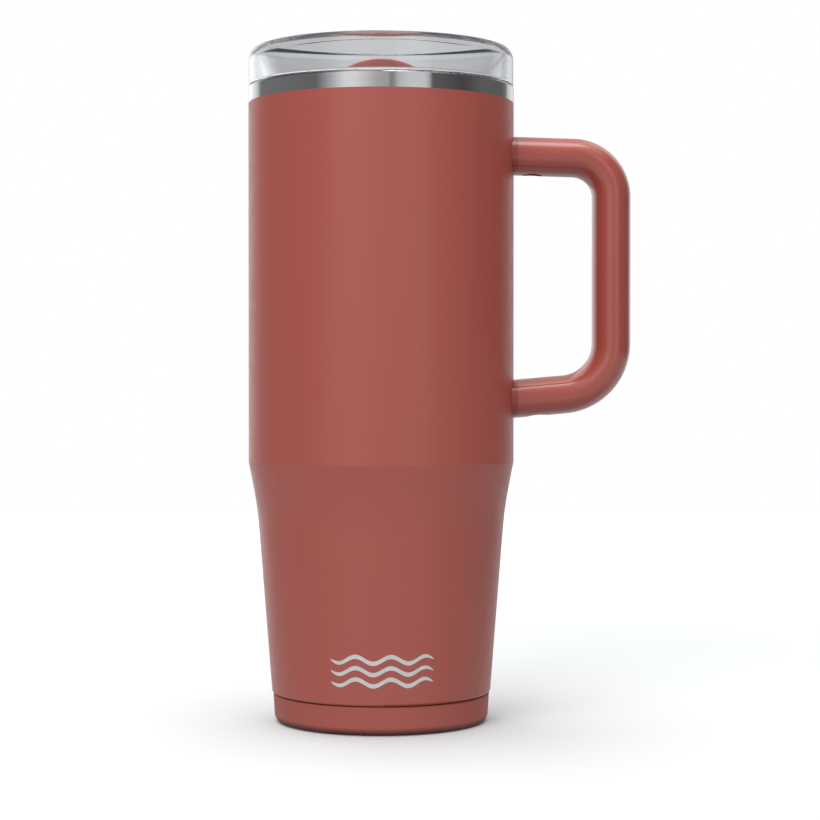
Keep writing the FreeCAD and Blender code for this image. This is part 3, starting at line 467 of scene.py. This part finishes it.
# Brightness below and above the walls. Each fades in between two elevations, in degrees.
LOW_WALL, LOW_WALL_FADE = 0.68, (-11.0, -6.0)
GROUND, GROUND_FADE = 0.4, (-50.0, -35.0)
CEILING, CEILING_FADE = 1.1, (45.0, 60.0)
SKYLIGHT, SKYLIGHT_FADE = 3.8, (68.0, 76.0)


def soft_light(name, place, aim, size, power):
    """A large soft light that lights surfaces but isn't seen in them."""
    data = bpy.data.lights.new(name, "AREA")
    data.shape = "SQUARE"
    data.size = size
    data.energy = power
    lamp = bpy.data.objects.new(name, data)
    lamp.location = place
    lamp.rotation_euler = (Vector(aim) - Vector(place)).to_track_quat("-Z", "Y").to_euler()
    lamp.visible_glossy = False
    lamp.visible_transmission = False
    bpy.context.scene.collection.objects.link(lamp)


MUG_MIDDLE = (0.0, 0.0, 0.11)

soft_light("key", place=(-0.45, -0.95, 0.85), aim=MUG_MIDDLE, size=0.7, power=6.0)
soft_light("overhead", place=(-0.05, 0.1, 1.3), aim=(0.0, 0.0, 0.0), size=1.4, power=9.0)
soft_light("fill", place=(0.9, -0.45, 0.3), aim=MUG_MIDDLE, size=0.6, power=0.7)


def walls(nodes, direction):
    """The walls' brightness in a direction."""
    turn = nodes.math("ARCTAN2", direction.outputs["X"],
                      nodes.math("MULTIPLY", direction.outputs["Y"], -1.0))
    ramp = nodes.add("ShaderNodeValToRGB")
    nodes.link(nodes.math("ADD", nodes.math("DIVIDE", turn, 2 * math.pi), 0.5), ramp.inputs["Fac"])
    elements = ramp.color_ramp.elements
    behind = SIDES[0][1]
    for element, position in zip(elements, (0.0, 1.0)):
        element.position = position
        element.color = (behind, behind, behind, 1.0)
    for azimuth, level in SIDES[1:]:
        elements.new((azimuth + 180.0) / 360.0).color = (level, level, level, 1.0)
    return ramp.outputs["Color"]


def world():
    """Plain white for the camera, and a studio of soft walls for everything it lights."""
    studio = bpy.data.worlds.new("studio")
    bpy.context.scene.world = studio
    studio.use_nodes = True
    nodes = Tree(studio.node_tree)
    direction = nodes.add("ShaderNodeSeparateXYZ")
    nodes.link(nodes.add("ShaderNodeTexCoord").outputs["Generated"], direction.inputs["Vector"])
    rise = nodes.math("ARCSINE", direction.outputs["Z"])
    elevation = nodes.math("MULTIPLY", rise, 180.0 / math.pi)
    level = walls(nodes, direction)
    level = nodes.mix_numbers(nodes.between(elevation, *LOW_WALL_FADE), LOW_WALL, level)
    level = nodes.mix_numbers(nodes.between(elevation, *GROUND_FADE), GROUND, level)
    level = nodes.mix_numbers(nodes.between(elevation, *CEILING_FADE), level, CEILING)
    level = nodes.mix_numbers(nodes.between(elevation, *SKYLIGHT_FADE), level, SKYLIGHT)
    lit = studio.node_tree.nodes["Background"]
    nodes.link(level, lit.inputs["Color"])
    lit.inputs["Strength"].default_value = 1.0
    seen = nodes.add("ShaderNodeBackground", Color=(1.0, 1.0, 1.0, 1.0))
    choice = nodes.add("ShaderNodeMixShader")
    nodes.link(nodes.add("ShaderNodeLightPath").outputs["Is Camera Ray"], choice.inputs["Fac"])
    nodes.link(lit.outputs["Background"], choice.inputs[1])
    nodes.link(seen.outputs["Background"], choice.inputs[2])
    nodes.link(choice.outputs["Shader"], studio.node_tree.nodes["World Output"].inputs["Surface"])


world()
